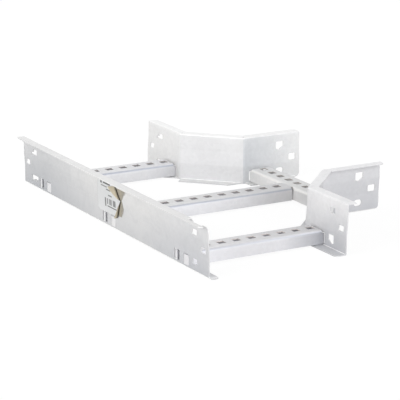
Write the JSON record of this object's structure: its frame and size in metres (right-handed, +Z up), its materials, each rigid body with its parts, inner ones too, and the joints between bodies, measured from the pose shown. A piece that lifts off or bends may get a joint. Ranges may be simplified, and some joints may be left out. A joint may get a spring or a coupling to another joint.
{
  "type": "cable tray tee",
  "caption": "Cable ladder tee of folded galvanised sheet: a straight side rail, corner rails bent at 45 degrees around a side branch, and slotted channel rungs between them.",
  "frame": {"origin": "where the centre lines of the run and of the branch cross, level with the underside of the rails", "axes": "+X along the run towards its right end, +Y along the branch away from the long rail, +Z up"},
  "size_m": [0.788, 0.561, 0.1],
  "materials": {
    "galvanised_sheet": "dull spangled zinc coating",
    "label_paper": "matte paper"
  },
  "bodies": {
    "root": {"long_side_rail": "galvanised_sheet", "left_corner_rail": "galvanised_sheet", "right_corner_rail": "galvanised_sheet", "left_rung": "galvanised_sheet", "middle_rung": "galvanised_sheet", "right_rung": "galvanised_sheet", "branch_rung": "galvanised_sheet", "paper_label": "label_paper"}
  },
  "joints": []
}
